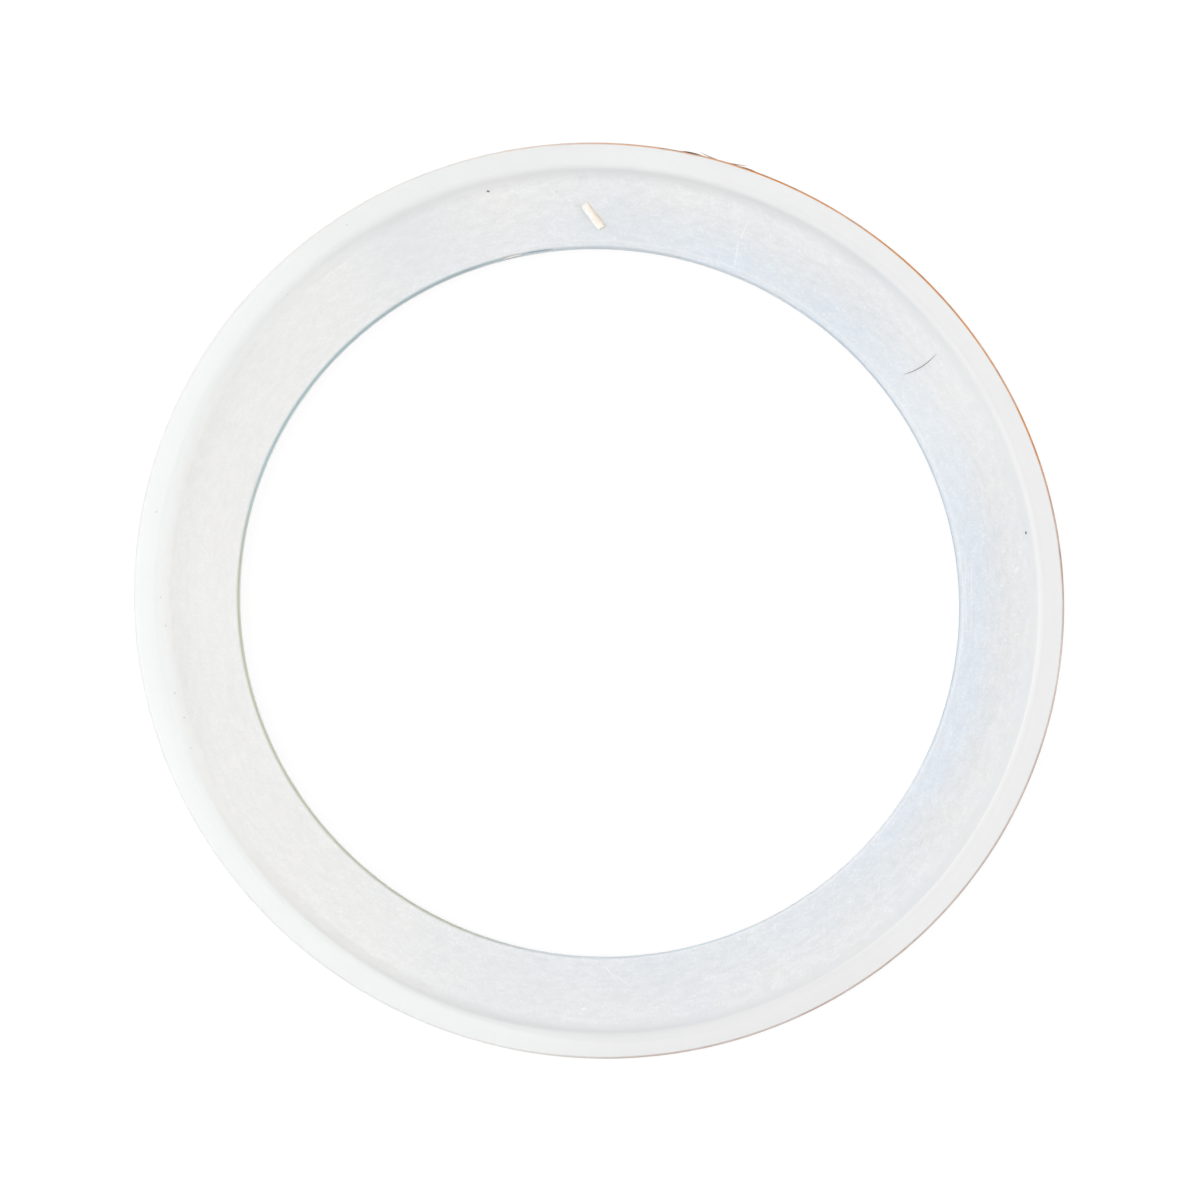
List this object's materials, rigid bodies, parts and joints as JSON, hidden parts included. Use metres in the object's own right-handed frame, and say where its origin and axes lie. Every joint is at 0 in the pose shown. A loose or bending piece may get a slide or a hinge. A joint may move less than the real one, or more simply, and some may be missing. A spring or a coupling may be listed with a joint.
{
  "type": "sanitary clamp gasket",
  "caption": "Flat moulded silicone ring with a raised outer rim on both faces, clamped between two tube ferrules to seal a sanitary union.",
  "frame": {"origin": "centre of the ring at mid height", "axes": "+Z along the bore axis, out of the upper face; the ring is the same all round, so +X and +Y are free"},
  "size_m": [0.0776, 0.0776, 0.0036],
  "materials": {
    "silicone": "milky translucent silicone, satin, dusty"
  },
  "bodies": {
    "root": {"gasket": "silicone"}
  },
  "joints": []
}
